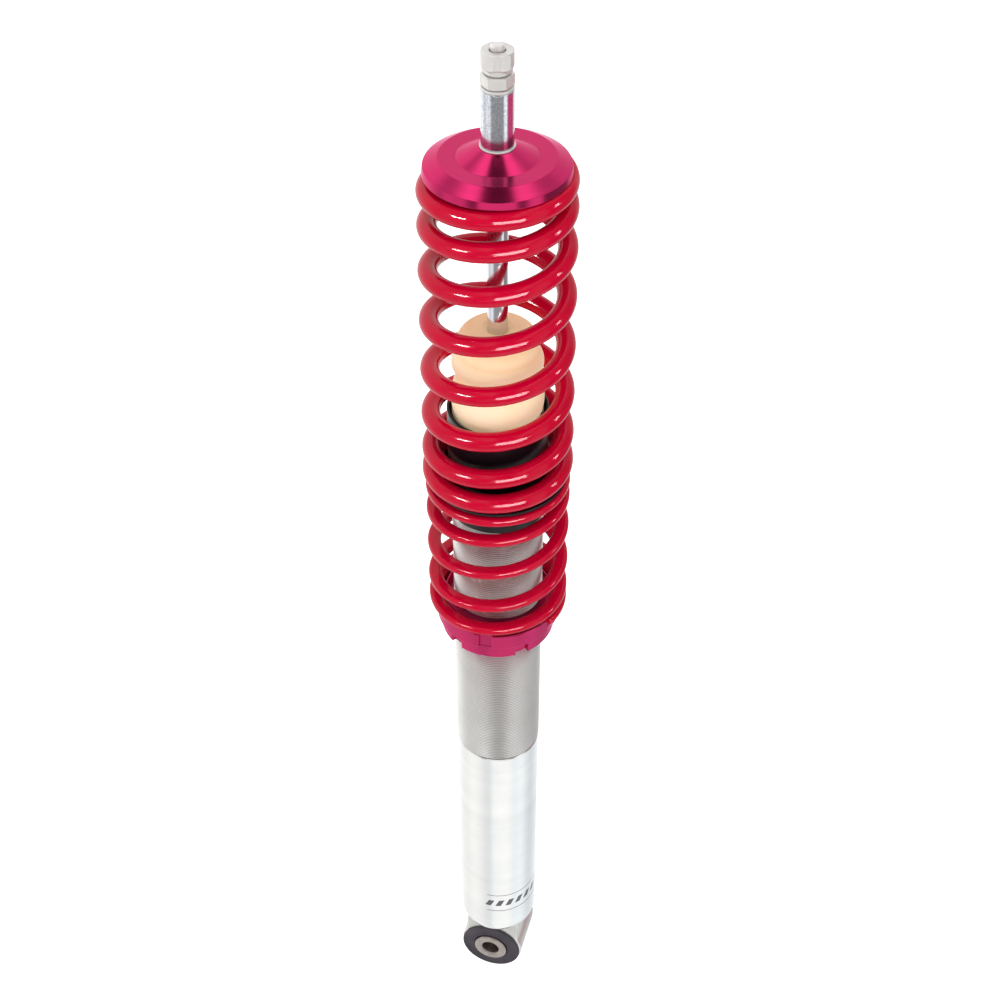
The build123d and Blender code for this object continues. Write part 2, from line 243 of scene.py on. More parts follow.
def sweep_round(name, profile, angles, axis="Z", closed=True, cap=None):
    """Profile rows of (r, z) swept through the angles. cap, one radius per angle or a function of z and
    angle, limits the radius: r = min(profile r, cap), which cuts notches and hexagons."""
    profile = hold_edges(profile, closed)
    r = np.repeat(profile[:, :1], len(angles), 1)
    z = np.repeat(profile[:, 1:], len(angles), 1)
    if cap is not None:
        r = np.minimum(r, cap(z, angles[None, :]) if callable(cap) else cap[None, :])
    x, y = r * np.cos(angles), r * np.sin(angles)
    points = np.stack([x, y, z] if axis == "Z" else [x, z, y], 2)
    return new_mesh(name, points.reshape(-1, 3), quads(len(profile), len(angles), closed, True))


def lathe(name, outline, steps=160, axis="Z", closed=True):
    """The outline swept once round an axis at even steps."""
    angles = np.linspace(0, 2 * pi, steps, endpoint=False)
    return tidy_mesh(sweep_round(name, rounded(outline, closed), angles, axis, closed))


def bumpy(start, end, bulge, count=14):
    """Points of an arc from start to end, in (r, z), that bulges sideways by bulge at its middle."""
    start, end = np.array(start, float), np.array(end, float)
    share = np.linspace(0, 1, count)[:, None]
    across = np.array([end[1] - start[1], start[0] - end[0]]) / np.linalg.norm(end - start)
    return [tuple(p) for p in start + (end - start) * share + across * bulge * 4 * share * (1 - share)]


# %% [markdown]
# ## Shared effects
# Three effects come back in several finishes, so each is a shader node group: the fine rings a lathe
# leaves, the ripple of a coating, and the patches and specks of dust and handling that break up a gloss.
# A group only puts out masks and heights; the shader itself stays in each material.

# %% Node helpers
def new_group(name, inputs, outputs):
    """Shader node group with float sockets: inputs is a dictionary of defaults, outputs a list of names."""
    group = bpy.data.node_groups.new(name, "ShaderNodeTree")
    for label, default in inputs.items():
        socket = group.interface.new_socket(label, in_out="INPUT", socket_type="NodeSocketFloat")
        socket.default_value = default
    for label in outputs:
        group.interface.new_socket(label, in_out="OUTPUT", socket_type="NodeSocketFloat")
    return group, group.nodes.new("NodeGroupInput"), group.nodes.new("NodeGroupOutput")


def add_node(tree, kind, values=None, **settings):
    """Node of a kind with its properties set, and its inputs linked to sockets or given values."""
    node = tree.nodes.new("ShaderNode" + kind)
    for key, value in settings.items():
        setattr(node, key, value)
    for socket, value in (values or {}).items():
        if isinstance(value, bpy.types.NodeSocket):
            tree.links.new(value, node.inputs[socket])
        else:
            node.inputs[socket].default_value = value
    return node


def maths(tree, operation, first, second=0.0):
    return add_node(tree, "Math", {0: first, 1: second}, operation=operation).outputs[0]


def remap(tree, value, from_low, from_high, to_low, to_high):
    values = {0: value, 1: from_low, 2: from_high, 3: to_low, 4: to_high}
    return add_node(tree, "MapRange", values).outputs[0]


def object_place(tree):
    return add_node(tree, "TexCoord").outputs["Object"]


def axis_distance(tree):
    """Distance of the shaded point from the part's axis, in metres."""
    values = {0: object_place(tree), 1: (1, 1, 0)}
    flat_place = add_node(tree, "VectorMath", values, operation="MULTIPLY").outputs[0]
    return add_node(tree, "VectorMath", {0: flat_place}, operation="LENGTH").outputs["Value"]


def along(tree, vector, direction):
    """Length of the vector along a direction: their dot product."""
    return add_node(tree, "VectorMath", {0: vector, 1: direction}, operation="DOT_PRODUCT").outputs["Value"]


# %% Lathe rings
# Ring position = radius on a faced surface (Facing 1), height on a turned one (Facing 0). A one-way
# noise of that position gives rings of uneven depth; a slower noise gathers them into bands.
lathe_rings, ring_in, ring_out = new_group(
    "lathe_rings", {"Rings per metre": 2500.0, "Facing": 0.0}, ["Height", "Shade"]
)
ring_height = add_node(lathe_rings, "SeparateXYZ", {0: object_place(lathe_rings)}).outputs["Z"]
values = {0: ring_in.outputs[1], 2: ring_height, 3: axis_distance(lathe_rings)}
position = add_node(lathe_rings, "Mix", values).outputs[0]
position = maths(lathe_rings, "MULTIPLY", position, ring_in.outputs[0])
fine = add_node(lathe_rings, "TexNoise", {"W": position, "Scale": 1.0, "Detail": 2.0}, noise_dimensions="1D")
slow = maths(lathe_rings, "MULTIPLY", position, 0.07)
bands = add_node(lathe_rings, "TexNoise", {"W": slow, "Scale": 1.0, "Detail": 3.0}, noise_dimensions="1D")
lathe_rings.links.new(fine.outputs[0], ring_out.inputs["Height"])
shade = maths(lathe_rings, "ADD", maths(lathe_rings, "MULTIPLY", fine.outputs[0], 0.6), bands.outputs[0])
lathe_rings.links.new(remap(lathe_rings, shade, 0.55, 1.05, 0.0, 1.0), ring_out.inputs["Shade"])

# %% Handling marks
handling_marks, mark_in, mark_out = new_group(
    "handling_marks", {"Patch scale": 30.0, "Speck scale": 900.0}, ["Patches", "Specks"]
)
place = object_place(handling_marks)
patches = add_node(handling_marks, "TexNoise", {"Vector": place, "Scale": mark_in.outputs[0], "Detail": 4.0})
specks = add_node(handling_marks, "TexNoise", {"Vector": place, "Scale": mark_in.outputs[1], "Detail": 1.0})
handling_marks.links.new(remap(handling_marks, patches.outputs[0], 0.3, 0.7, 0.0, 1.0), mark_out.inputs[0])
handling_marks.links.new(remap(handling_marks, specks.outputs[0], 0.68, 0.78, 0.0, 1.0), mark_out.inputs[1])

# %% Coating ripple
coating_ripple, ripple_in, ripple_out = new_group(
    "coating_ripple", {"Scale": 400.0, "Grain": 0.3}, ["Height"]
)
place = object_place(coating_ripple)
wave = add_node(coating_ripple, "TexNoise", {"Vector": place, "Scale": ripple_in.outputs[0], "Detail": 2.0})
grain_scale = maths(coating_ripple, "MULTIPLY", ripple_in.outputs[0], 6.0)
grain = add_node(coating_ripple, "TexNoise", {"Vector": place, "Scale": grain_scale, "Detail": 2.0})
grain_share = maths(coating_ripple, "MULTIPLY", grain.outputs[0], ripple_in.outputs[1])
coating_ripple.links.new(maths(coating_ripple, "ADD", wave.outputs[0], grain_share), ripple_out.inputs[0])
print("shared effects:", [group.name for group in bpy.data.node_groups])


# %% [markdown]
# ## Finishes
# One function builds every finish from the same few words, as a finisher would order it: the colour and
# a second colour for its darker patches, how rough it is, what rings or ripple it carries and how deep.

# %% A finish from a few words
def finish(name, colour, second, metal=0.0, rough=0.4, uneven=0.04, patch=30.0, specks=0.0, rings=None,
           facing=0.0, shade=0.0, ripple=None, grain=0.3, depth=0.0, **shader_values):
    """Principled material. Base colour = mix(second, colour, patches) x (1 - shade x ring shade), flecked
    by specks; roughness = rough +- uneven by patches; bump from rings or ripple, depth in metres."""
    material = bpy.data.materials.new(name)
    material.use_nodes = True
    tree = material.node_tree
    shader = tree.nodes["Principled BSDF"]
    mark = add_node(tree, "Group", {}, node_tree=handling_marks)
    mark.inputs["Patch scale"].default_value = patch
    values = {0: mark.outputs["Patches"], 6: (*second, 1), 7: (*colour, 1)}
    tint = add_node(tree, "Mix", values, data_type="RGBA").outputs[2]
    height = None
    if rings:
        ring = add_node(tree, "Group", {}, node_tree=lathe_rings)
        ring.inputs["Rings per metre"].default_value = rings
        ring.inputs["Facing"].default_value = facing
        values = {0: 1.0, 6: tint, 7: remap(tree, ring.outputs["Shade"], 0.0, 1.0, 1.0, 1.0 - shade)}
        tint = add_node(tree, "Mix", values, data_type="RGBA", blend_type="MULTIPLY").outputs[2]
        height = ring.outputs["Height"]
    if ripple:
        wave = add_node(tree, "Group", {}, node_tree=coating_ripple)
        wave.inputs["Scale"].default_value = ripple
        wave.inputs["Grain"].default_value = grain
        height = wave.outputs["Height"]
    if specks:
        values = {0: maths(tree, "MULTIPLY", mark.outputs["Specks"], specks), 6: tint, 7: (0.7, 0.7, 0.7, 1)}
        tint = add_node(tree, "Mix", values, data_type="RGBA").outputs[2]
    tree.links.new(tint, shader.inputs["Base Color"])
    roughness = remap(tree, mark.outputs["Patches"], 0.0, 1.0, rough + uneven, rough - uneven)
    tree.links.new(roughness, shader.inputs["Roughness"])
    if depth:
        bump = add_node(tree, "Bump", {"Height": height, "Strength": 1.0, "Distance": depth})
        tree.links.new(bump.outputs[0], shader.inputs["Normal"])
    shader.inputs["Metallic"].default_value = metal
    for key, value in shader_values.items():
        shader.inputs[key.replace("_", " ")].default_value = value
    return material


# %% The finishes
bright_zinc = finish("bright_zinc", (0.90, 0.90, 0.89), (0.86, 0.87, 0.87), 1.0, 0.24, rings=1300, shade=0.05,
                     depth=7e-7)
thread_zinc = finish("thread_zinc", (0.88, 0.87, 0.85), (0.82, 0.80, 0.78), 1.0, 0.34, uneven=0.05)
forged_zinc = finish("forged_zinc", (0.84, 0.84, 0.80), (0.74, 0.74, 0.70), 1.0, 0.42, ripple=900, depth=4e-5)
nut_zinc = finish("nut_zinc", (0.80, 0.78, 0.75), (0.70, 0.68, 0.66), 0.5, 0.36, patch=160, ripple=700,
                  depth=1.2e-5)
sleeve_zinc = finish("sleeve_zinc", (0.84, 0.86, 0.90), (0.54, 0.55, 0.62), 1.0, 0.14, patch=900, ripple=1500,
                     depth=5e-6)
bush_steel = finish("bush_steel", (0.54, 0.48, 0.45), (0.40, 0.35, 0.32), 1.0, 0.42, patch=200, ripple=2000,
                    depth=8e-6)
hard_chrome = finish("hard_chrome", (0.74, 0.74, 0.79), (0.68, 0.68, 0.74), 1.0, 0.11, uneven=0.02)
anodised_gloss = dict(Specular_Tint=(1, 0.3, 0.6, 1), Coat_Weight=0.5, Coat_IOR=1.48)
magenta_faced = finish("magenta_faced", (0.62, 0.006, 0.120), (0.58, 0.005, 0.105), 1.0, 0.17, rings=5200,
                       facing=1.0, shade=0.10, depth=6e-7, Coat_Roughness=0.16, **anodised_gloss)
magenta_rim = finish("magenta_rim", (0.58, 0.012, 0.125), (0.52, 0.009, 0.105), 1.0, 0.22, rings=4500,
                     shade=0.10, depth=8e-7, Coat_Roughness=0.18, **anodised_gloss)
powder_red = finish("powder_red", (0.60, 0.0, 0.030), (0.56, 0.0, 0.027), 0.0, 0.11, uneven=0.02, ripple=330,
                    grain=0.05, depth=6e-6, specks=0.02, Specular_IOR_Level=0.15)
slider_black = finish("slider_black", (0.009, 0.006, 0.009), (0.006, 0.004, 0.006), 0.0, 0.30, ripple=2600,
                      depth=6e-6, Specular_IOR_Level=0.3)
# painted light: the foam is given a small warm glow of its own, which brightens it
bump_foam = finish("bump_foam", (0.98, 0.95, 0.74), (0.96, 0.84, 0.56), 0.0, 0.6, patch=45, ripple=2400,
                   grain=0.6, depth=6e-5, Subsurface_Weight=0.15, Subsurface_Scale=0.004,
                   Specular_IOR_Level=0.3, Emission_Color=(1.0, 0.80, 0.46, 1), Emission_Strength=0.27)
bush_rubber_black = finish("bush_rubber_black", (0.075, 0.064, 0.080), (0.052, 0.046, 0.058), 0.0, 0.62,
                           patch=90, ripple=2200, grain=0.5, depth=3e-5, Specular_IOR_Level=0.3)
seal_rubber = finish("seal_rubber", (0.02, 0.02, 0.02), (0.012, 0.012, 0.012), 0.0, 0.55, ripple=3000,
                     depth=1e-5)
nylon_white = finish("nylon_white", (0.70, 0.68, 0.64), (0.55, 0.53, 0.50), 0.0, 0.5, patch=400, ripple=2500,
                     depth=8e-6)
inner_steel = finish("inner_steel", (0.50, 0.50, 0.51), (0.42, 0.42, 0.43), 1.0, 0.30, rings=4000, shade=0.15,
                     depth=1.5e-6)
valve_alloy = finish("valve_alloy", (0.62, 0.62, 0.60), (0.52, 0.52, 0.50), 1.0, 0.40, ripple=2600,
                     depth=1e-5)
ptfe_brown = finish("ptfe_brown", (0.16, 0.08, 0.04), (0.11, 0.055, 0.03), 0.0, 0.45, rings=6000, shade=0.2,
                    depth=1e-6)


# %% [markdown]
# Three finishes change along the part. The thread's roots are painted darker than its crests, as shade in the
# grooves. The foam is painted darker nearer its axis, as shade in its waists, and the same darkening covers
# its top. The rod's end above its ground length is plain zinc, which is matt.

# %% Painted shade in thread roots and foam waists, and matt pin tip
def recolour(material, mask, colour):
    """Mixes a colour over the base colour of a material where the mask is 1."""
    tree = material.node_tree
    base = tree.nodes["Principled BSDF"].inputs["Base Color"]
    mixed = add_node(tree, "Mix", {0: mask, 6: base.links[0].from_socket, 7: (*colour, 1)}, data_type="RGBA")
    tree.links.new(mixed.outputs[2], base)


ROOT_DEPTH = 0.8  # from the crest to where the painted shade is darkest
tree = thread_zinc.node_tree
# painted shade: the thread's roots are darkened towards the root diameter, as if shaded in the grooves
painted_root_shade_mask = remap(tree, axis_distance(tree), (THREAD_R - ROOT_DEPTH) * MM, (THREAD_R - 0.1) * MM, 0.75, 0.0)
recolour(thread_zinc, painted_root_shade_mask, (0.22, 0.21, 0.21))

tree = bump_foam.node_tree
# painted shade: the foam is darkened nearer its axis, in its waists between the lobes, and the same darkening
# covers its top
painted_waist_shade_mask = remap(tree, axis_distance(tree), (STOP_R - 4.2) * MM, (STOP_R - 1.2) * MM, 0.6, 0.0)
recolour(bump_foam, painted_waist_shade_mask, (0.86, 0.50, 0.24))

MATT_FROM = 0.676  # height in metres
MATT_ROUGHNESS = 0.45
tree = hard_chrome.node_tree
height = add_node(tree, "SeparateXYZ", {0: object_place(tree)}).outputs["Z"]
tip_mask = remap(tree, height, MATT_FROM, MATT_FROM + 0.001, 0.0, 1.0)
recolour(hard_chrome, tip_mask, (0.93, 0.88, 0.88))
roughness = tree.nodes["Principled BSDF"].inputs["Roughness"]
matt = add_node(tree, "Mix", {0: tip_mask, 2: roughness.links[0].from_socket, 3: MATT_ROUGHNESS})
tree.links.new(matt.outputs[0], roughness)

# %% [markdown]
# The real tube carries a printed label near its foot. Only a plain stand-in is printed here: two thin
# lines round the tube with a row of slanted dashes between them.

# %% Printed band
LINE_HEIGHTS = (0.0690, 0.0520)
LINE_HALF = 0.0003
DASH_HEIGHTS = (0.0575, 0.0635)
DASH_PITCH = 0.007
DASH_SHARE = 0.55  # of the pitch
DASH_LEAN = 0.45
tree = bright_zinc.node_tree
place = object_place(tree)
height = add_node(tree, "SeparateXYZ", {0: place}).outputs["Z"]
# the angle is measured from the front, so its jump from pi to -pi lies at the back
ahead = along(tree, place, (cos(FRONT), sin(FRONT), 0))
aside = along(tree, place, (-sin(FRONT), cos(FRONT), 0))
around = maths(tree, "ARCTAN2", aside, ahead)


def between(tree, value, low_end, high_end):
    """1 where the value lies between the two ends, else 0."""
    above = maths(tree, "GREATER_THAN", value, low_end)
    return maths(tree, "MULTIPLY", above, maths(tree, "LESS_THAN", value, high_end))


lines = [between(tree, height, h - LINE_HALF, h + LINE_HALF) for h in LINE_HEIGHTS]
lines = maths(tree, "MULTIPLY", maths(tree, "ADD", *lines), between(tree, around, -0.30, 1.9))
arc_length = maths(tree, "MULTIPLY", around, TUBE_R * MM)
slant = maths(tree, "SUBTRACT", arc_length, maths(tree, "MULTIPLY", height, DASH_LEAN))
dash = maths(tree, "FRACT", maths(tree, "DIVIDE", slant, DASH_PITCH))
dash = maths(tree, "LESS_THAN", dash, DASH_SHARE)
dash = maths(tree, "MULTIPLY", dash, between(tree, height, *DASH_HEIGHTS))
dash = maths(tree, "MULTIPLY", dash, between(tree, slant, -5 * DASH_PITCH, 2 * DASH_PITCH))
print_mask = maths(tree, "MAXIMUM", lines, dash)
recolour(bright_zinc, print_mask, (0.10, 0.085, 0.11))
bare = maths(tree, "SUBTRACT", 1.0, print_mask)
tree.links.new(bare, tree.nodes["Principled BSDF"].inputs["Metallic"])
print("finishes:", len(bpy.data.materials))


# %% [markdown]
# ## Pieces that stay as the CAD made them
# Inside the damper nothing shows in the portrait, and the CAD shapes are right as they are: seals, guide,
# working cylinder, valves, piston. They only get their finishes.

# %% Finishes on CAD nodes
kept_nodes = {
    inner_steel: ["working_cylinder", "base_valve_shim", "base_valve_bolt", "compression_shim",
                  "rebound_shim", "shim_backing_washer", "piston_nut", "gland_nut", "bush_outer_shell"],
    valve_alloy: ["base_valve_body", "piston", "rod_guide"],
    seal_rubber: ["rod_wiper", "rod_seal", "guide_o_ring", "rebound_stop"],
    ptfe_brown: ["piston_band"],
}
for material, names in kept_nodes.items():
    for name in names:
        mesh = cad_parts[name].data
        mesh.materials.clear()
        mesh.materials.append(material)
print("CAD nodes kept:", sum(len(names) for names in kept_nodes.values()))


# %% [markdown]
# ## The damper body
# The lower tube is drawn steel, closed at its foot by spinning the wall inwards, which leaves a generous
# round. Above the step a sleeve with the body thread is pressed over it. The tube is one lathe outline;
# because it is closed at the foot, its outline starts and ends on the axis.

# %% Lower tube
TUBE_BORE_R = 22.0
FLOOR_THICK = 6.0
FOOT_ROUND = 12.0
sleeve_bore = THREAD_R - 2.0
foot = [
    (TUBE_R - FOOT_ROUND * (1 - sin(turn)), TUBE_LOW + FOOT_ROUND * (1 - cos(turn)))
    for turn in np.linspace(0, pi / 2, 12)
]
lower_tube = lathe(
    "lower_tube_skin",
    [(0, TUBE_LOW)] + foot + [
        (TUBE_R, STEP_Z - 0.6),
        (TUBE_R - 0.3, STEP_Z),
        (sleeve_bore, STEP_Z),
        (sleeve_bore, SLEEVE_TOP),
        (TUBE_BORE_R, SLEEVE_TOP),
        (TUBE_BORE_R, TUBE_LOW + FLOOR_THICK),
        (0, TUBE_LOW + FLOOR_THICK),
    ],
    steps=192,
    closed=False,
)
dress(lower_tube, "damper_body", "zinc_bright_tube", bright_zinc, "lower_tube")


# %% [markdown]
# ### The body thread
# A thread is one ridge wound round the sleeve. A bump map would give a smooth silhouette, so the ridge is
# real: a grid whose rows rise by one pitch in one turn, with the ISO profile of crest, flank and root.
# At both ends the ridge fades into the root diameter, as where the threading tool runs out.

# %% Threaded sleeve
PITCH = 1.5
THREAD_DEPTH = 0.9
THREAD_STEPS = 72
THREAD_PROFILE = np.array([[0.00, 0.0], [0.22, 0.0], [0.50, 1.0], [0.64, 1.0]])  # share of pitch, height


def threaded(name, radius, bore, bottom, top):
    """r = root + depth x profile(z) x fade, z = bottom + pitch x (row + share + turn), clipped to both
    ends."""
    turn = np.linspace(0, 1, THREAD_STEPS + 1)
    rows = np.arange(-1, (top - bottom) / PITCH + 1)
    start = bottom + PITCH * (rows[:, None] + THREAD_PROFILE[None, :, 0])
    z = (start.reshape(-1, 1) + PITCH * turn[None, :]).clip(bottom, top)
    ridge = np.tile(THREAD_PROFILE[:, 1], len(rows))[:, None]
    fade = np.clip(np.minimum(z - bottom, top - z) / PITCH, 0, 1)
    r = radius - THREAD_DEPTH + THREAD_DEPTH * ridge * fade
    root = radius - THREAD_DEPTH
    ends_r = np.array([bore, bore])[:, None] + 0 * turn
    ends_z = np.array([top, bottom])[:, None] + 0 * turn
    first = np.full((1, len(turn)), root)
    r = np.vstack([first, r, first, ends_r])
    z = np.vstack([0 * first + bottom, z, 0 * first + top, ends_z])
    angle = 2 * pi * (turn + 0 * z)
    points = np.stack([r * np.cos(angle), r * np.sin(angle), z], 2).reshape(-1, 3)
    return tidy_mesh(new_mesh(name, points, quads(len(r), len(turn), True, False)), 28)


sleeve = threaded("threaded_sleeve_cut", THREAD_R, sleeve_bore, STEP_Z, SLEEVE_TOP)
dress(sleeve, "damper_body", "thread_steel", thread_zinc, "threaded_sleeve")


# %% [markdown]
# ## The lower eye
# A forged loop is welded under the tube, and a rubber bush is pressed into it. The loop is a ring about Y
# with a neck that spreads up to the tube. In a direction round the eye, its outer radius is the larger of
# the ring and the neck's straight sides, joined smoothly; the section there is a rounded rectangle.

# %% Eye loop
NECK_HALF_WIDTH = 18.5
NECK_HALF_DEPTH = 15.0
NECK_TOP = TUBE_LOW + 6.0
EYE_EDGE = 2.4


def smooth_max(a, b, width):
    """Larger of a and b, with the corner between them rounded over about the given width."""
    return 0.5 * (a + b + np.sqrt((a - b) ** 2 + width**2))


def eye_surface(name, steps=192, across=15, edge=7):
    """Section at angle a: from the bore out to reach(a), half depth shrinking from the eye's to the
    neck's."""
    a = np.linspace(0, 2 * pi, steps, endpoint=False)
    side = NECK_HALF_WIDTH / np.maximum(np.abs(np.cos(a)), 1e-3)
    roof = NECK_TOP / np.maximum(np.sin(a), 1e-3)
    neck = np.where(np.sin(a) > 0, np.minimum(side, roof), 0)
    reach = np.where(neck > EYE_R - 6, smooth_max(EYE_R - 0.2, neck, 1.6), EYE_R - 0.1)
    out = np.linspace(0, 1, across)[:, None]
    r_face = BUSH_R + (reach - EYE_EDGE - BUSH_R) * out
    turn = np.linspace(0, pi / 2, edge)[1:, None]
    r_edge = reach - EYE_EDGE * (1 - np.sin(turn))
    r_half = np.vstack([r_face, r_edge, r_edge[-1:]])
    above = np.clip((r_half - EYE_R) / 8, 0, 1)
    depth = EYE_HALF - (EYE_HALF - NECK_HALF_DEPTH) * above * above * (3 - 2 * above)
    inset = np.vstack([
        0 * r_face,
        EYE_EDGE * (1 - np.cos(turn)) + 0 * r_edge,
        EYE_EDGE + 0.4 + 0 * r_edge[-1:],
    ])
    y_half = depth - inset
    r = np.vstack([r_half, r_half[::-1]])
    y = np.vstack([y_half, -y_half[::-1]])
    points = np.stack([r * np.cos(a), y, r * np.sin(a)], 2).reshape(-1, 3)
    return tidy_mesh(new_mesh(name, points, quads(len(r), steps, True, True)))


dress(eye_surface("forged_eye_loop"), "damper_body", "forged_eye", forged_zinc, "eye_loop")


# %% [markdown]
# ### The bush
# The rubber is moulded to a steel sleeve. It bulges beside the loop and dips to a groove next to the
# sleeve, because rubber shrinks as it cures and is held at both its edges. Its face is an arc.

# %% Bush rubber and inner sleeve
SHELL_BORE_R = BUSH_R - 1.4
LIP_R = -low("bush_rubber")
half_bush = (
    [(LIP_R, EYE_HALF + 0.15), (LIP_R - 0.1, EYE_HALF + 1.0, 0.4)]
    + bumpy((LIP_R - 0.7, EYE_HALF + 1.7), (BUSH_SLEEVE_R + 2.4, EYE_HALF + 0.9), -0.75)
    + bumpy((BUSH_SLEEVE_R + 2.3, EYE_HALF + 0.8), (BUSH_SLEEVE_R, EYE_HALF + 0.3), 1.0, 7)
)
mirrored = [(corner[0], -corner[1], *corner[2:]) for corner in reversed(half_bush)]
bush = lathe("bush_rubber_moulded", half_bush + mirrored + [
    (BUSH_R, -EYE_HALF - 0.05),
    (SHELL_BORE_R, -EYE_HALF + 1.0),
    (SHELL_BORE_R, EYE_HALF - 1.0),
    (BUSH_R, EYE_HALF + 0.05),
], axis="Y")
dress(bush, "damper_body", "bush_rubber", bush_rubber_black, "bush_rubber")

EYE_BORE_R = 6.1
bush_sleeve = lathe("bush_sleeve_turned", [
    (EYE_BORE_R, -BUSH_SLEEVE_HALF, 0.9),
    (BUSH_SLEEVE_R, -BUSH_SLEEVE_HALF, 0.8),
    (BUSH_SLEEVE_R, BUSH_SLEEVE_HALF, 0.8),
    (EYE_BORE_R, BUSH_SLEEVE_HALF, 0.9),
], axis="Y", steps=96)
dress(bush_sleeve, "damper_body", "bush_steel", bush_steel, "bush_inner_sleeve")


# %% [markdown]
# ## The bump stop
# A microcellular foam buffer stands on the gland nut round the rod. Its waists let it fold up evenly when
# the seat comes down on it. The outline is a chain of arcs, one for each lobe.

# %% Bump stop
STOP_LOW = low("bump_stop")
STOP_TOP = high("bump_stop")
STOP_BORE_R = ROD_R + 0.5


def arc_through(start, middle, end, count=16):
    """Points of the quadratic curve that passes through middle halfway, close to a circular arc."""
    start, middle, end = (np.array(p, float) for p in (start, middle, end))
    share = np.linspace(0, 1, count)[:, None]
    control = 2 * middle - 0.5 * (start + end)
    return [tuple(p) for p in (1 - share) ** 2 * start + 2 * share * (1 - share) * control + share**2 * end]


LOWER_WAIST = (STOP_R - 4.0, STOP_LOW + 24.8)
UPPER_WAIST = (STOP_R - 3.6, STOP_LOW + 40.0)
TOP_EDGE = (STOP_R - 9.4, STOP_TOP - 1.2)
WAIST_HALF = 0.2  # half the height of the crease between two lobes


def beside(corner, rise):
    """The point straight above or below a corner of the outline."""
    return corner[0], corner[1] + rise


lobes = (
    arc_through((STOP_R - 1.2, STOP_LOW), (STOP_R, STOP_LOW + 12.5), beside(LOWER_WAIST, -WAIST_HALF))
    + arc_through(
        beside(LOWER_WAIST, WAIST_HALF), (STOP_R - 0.4, STOP_LOW + 32.0), beside(UPPER_WAIST, -WAIST_HALF)
    )
    + arc_through(beside(UPPER_WAIST, WAIST_HALF), (STOP_R - 3.7, STOP_LOW + 46.8), TOP_EDGE)
    + arc_through(TOP_EDGE, (STOP_R - 13, STOP_TOP - 0.2), (STOP_BORE_R + 2, STOP_TOP))
)
stop = lathe("bump_stop_foam", lobes + [
    (STOP_BORE_R, STOP_TOP - 1.5, 0.8),
    (STOP_BORE_R, STOP_LOW),
], steps=128)
dress(stop, "damper_body", "bump_foam", bump_foam, "bump_stop")
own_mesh(stop)


# %% [markdown]
# ## The two collars
# The lower spring stands on an aluminium collar that screws along the body thread, and a thinner ring
# under it locks it. Both have notches for a hook spanner. A notch is a limit on the radius: inside its
# width, no point of the ring may reach past the notch's floor.

# %% Notched rings
NOTCHES = 5
NOTCH_HALF_WIDTH = 4.0
NOTCH_DEPTH = 3.0
NOTCH_BREAK = 0.012  # the wall's outer corner is broken over this angle


def notched(name, outline, rim, first_degrees):
    """Lathe sweep whose radius limit is the notch's flat floor, (rim - depth) / cos, within each notch."""
    half = NOTCH_HALF_WIDTH / rim
    floor = rim - NOTCH_DEPTH
    inside = np.linspace(-half, half, 11)
    outside = np.linspace(half + NOTCH_BREAK, 2 * pi / NOTCHES - half - NOTCH_BREAK, 33)
    angle = np.concatenate([inside, [half], outside, [2 * pi / NOTCHES - half]])
    limit = np.concatenate([floor / np.cos(inside), [rim - 0.4], 0 * outside + rim + 1, [rim - 0.4]])
    start = radians(first_degrees) + 2 * pi / NOTCHES * np.arange(NOTCHES)[:, None]
    angles = (start + angle).ravel()
    return tidy_mesh(sweep_round(name, rounded(outline), angles, cap=np.tile(limit, NOTCHES)), 30)


THREAD_FIT = 0.05
collar_bore = THREAD_R + THREAD_FIT
COLLAR_LOW = low("perch_collar")
HUB_HEIGHT = 5.0
COLLAR_TOP = high("perch_collar") - HUB_HEIGHT
COLLAR_R = outer("perch_collar")
HUB_R = COLLAR_R - 4.6
collar = notched("perch_collar_turned", [
    (collar_bore, COLLAR_LOW, 0.6),
    (COLLAR_R, COLLAR_LOW, 0.8),
    (COLLAR_R, COLLAR_TOP, 0.9),
    (HUB_R, COLLAR_TOP),
    (HUB_R, COLLAR_TOP + HUB_HEIGHT, 1.2),
    (collar_bore, COLLAR_TOP + HUB_HEIGHT, 0.8),
], COLLAR_R, 58.0)
dress(collar, "collar", "anodised_magenta", magenta_rim, "perch_collar")

RING_LOW = low("lock_ring")
RING_TOP = high("lock_ring")
RING_R = outer("lock_ring")
lock_ring = notched("lock_ring_turned", [
    (collar_bore, RING_LOW, 0.6),
    (RING_R, RING_LOW, 0.8),
    (RING_R, RING_TOP, 0.6),
    (collar_bore, RING_TOP, 0.6),
], RING_R, 23.0)
dress(lock_ring, "lock_ring", "anodised_magenta", magenta_rim, "lock_ring")


# %% [markdown]
# ## The springs
# A spring is a wire section carried along a helix. Its end coils lie closed and are ground flat, so the
# pitch is small at both ends and largest in the middle: height = sum of the local pitch. Grinding is a
# clip in height. When the spring is squeezed only its open coils close up, so each section's share of the
# travel is the sum of the free gap below it. That share is written as an attribute and removed again; the
# spring itself stays as wound.

# %% Wire along a helix
RING_POINTS = 28
STEPS_PER_TURN = 72


